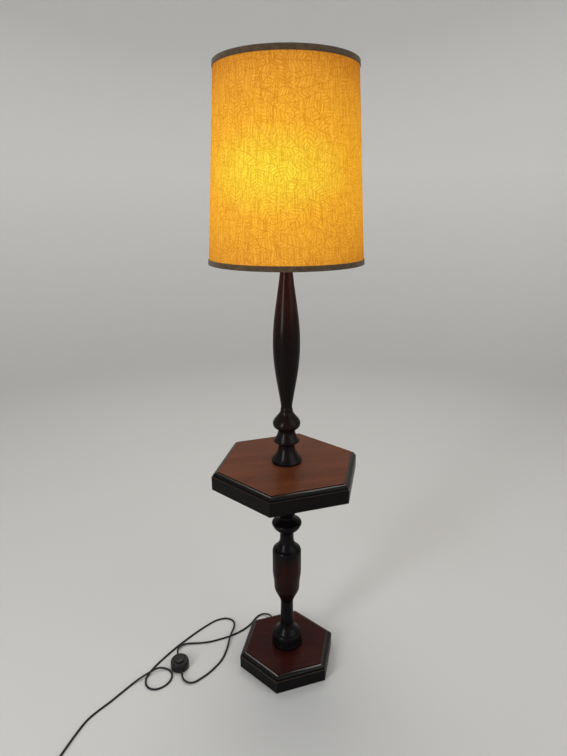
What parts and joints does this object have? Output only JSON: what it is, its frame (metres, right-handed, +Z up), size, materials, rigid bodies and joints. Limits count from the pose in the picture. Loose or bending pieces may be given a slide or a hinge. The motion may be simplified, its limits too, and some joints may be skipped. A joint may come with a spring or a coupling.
{
  "type": "floor lamp with table",
  "caption": "Turned wooden floor lamp with a six-sided table round its column, a tapered cloth drum shade on a wire harp, and a mains cord with a foot switch.",
  "frame": {"origin": "centre of the base's underside, on the floor under the column's axis", "axes": "+Z up along the column; +X through a corner of the six-sided base and table; +Y through the flat side of the base where the cord leaves"},
  "size_m": [0.8344, 0.4822, 1.499],
  "materials": {
    "panel_wood": "gloss varnish",
    "dark_wood": "satin dark stain",
    "column_wood": "gloss varnish",
    "felt": "matt felt",
    "iron": "rough cast",
    "steel": "zinc plated",
    "brass": "lacquered",
    "socket_fibre": "pressed fibre",
    "socket_core": "moulded",
    "thin_brass": "rolled",
    "lamp_base": "rolled thread",
    "lamp_glass": "frosted",
    "shade_cloth": "woven cloth on a stiff liner",
    "trim_tape": "ribbed tape",
    "frame_wire": "brass washed",
    "cord": "matt",
    "moulded_black": "matt",
    "switch_case": "satin",
    "switch_key": "satin",
    "blade_brass": "stamped",
    "small_steel": "plain"
  },
  "bodies": {
    "lamp": {"base_panel": "panel_wood", "table_panel": "panel_wood", "base_rail_1": "dark_wood", "base_rail_2": "dark_wood", "base_rail_3": "dark_wood", "base_rail_4": "dark_wood", "base_rail_5": "dark_wood", "base_rail_6": "dark_wood", "table_rail_1": "dark_wood", "table_rail_2": "dark_wood", "table_rail_3": "dark_wood", "table_rail_4": "dark_wood", "table_rail_5": "dark_wood", "table_rail_6": "dark_wood", "lower_column": "dark_wood", "upper_column": "column_wood", "base_felt": "felt", "base_weight": "iron", "lamp_pipe": "steel", "pipe_washer": "steel", "pipe_nut": "brass", "column_cap": "brass", "neck_spacer": "brass", "harp_saddle": "brass", "harp_wire": "brass", "harp_stud": "brass", "finial": "brass", "socket_cap": "brass", "socket_shell": "brass", "socket_liner": "socket_fibre", "socket_core": "socket_core", "screw_shell": "thin_brass", "bulb_base": "lamp_base", "bulb_glass": "lamp_glass", "inner_cord": "cord", "cord_to_switch": "cord", "cord_to_coil": "cord", "cord_coil": "cord", "cord_tail": "cord", "strain_relief": "moulded_black", "coil_tie": "moulded_black", "plug_body": "moulded_black", "switch_boots": "moulded_black", "switch_lower": "switch_case", "switch_upper": "switch_case", "plug_blades": "blade_brass", "switch_screws": "small_steel", "switch_spring": "small_steel"},
    "shade": {"shade_fabric": "shade_cloth", "shade_spider": "frame_wire", "shade_top_ring": "frame_wire", "shade_bottom_ring": "frame_wire", "top_trim": "trim_tape", "bottom_trim": "trim_tape"},
    "ferrule_left": {"ferrule_left": "brass"},
    "ferrule_right": {"ferrule_right": "brass"},
    "button": {"switch_button": "switch_key"}
  },
  "joints": [
    {"name": "shade_turn", "type": "hinge", "parent": "lamp", "child": "shade", "pos_m": [0, 0, 1.474], "axis": [0, 0, 1], "continuous": true},
    {"name": "ferrule_left_lift", "type": "slide", "parent": "lamp", "child": "ferrule_left", "axis": [0, 0, 1], "range_m": [0, 0.012]},
    {"name": "ferrule_right_lift", "type": "slide", "parent": "lamp", "child": "ferrule_right", "axis": [0, 0, 1], "range_m": [0, 0.012]},
    {"name": "button_press", "type": "slide", "parent": "lamp", "child": "button", "axis": [0, 0, -1], "range_m": [0, 0.003], "stiffness_N_per_m": 800, "springref_m": -0.002, "deforming": ["switch_spring"]}
  ]
}
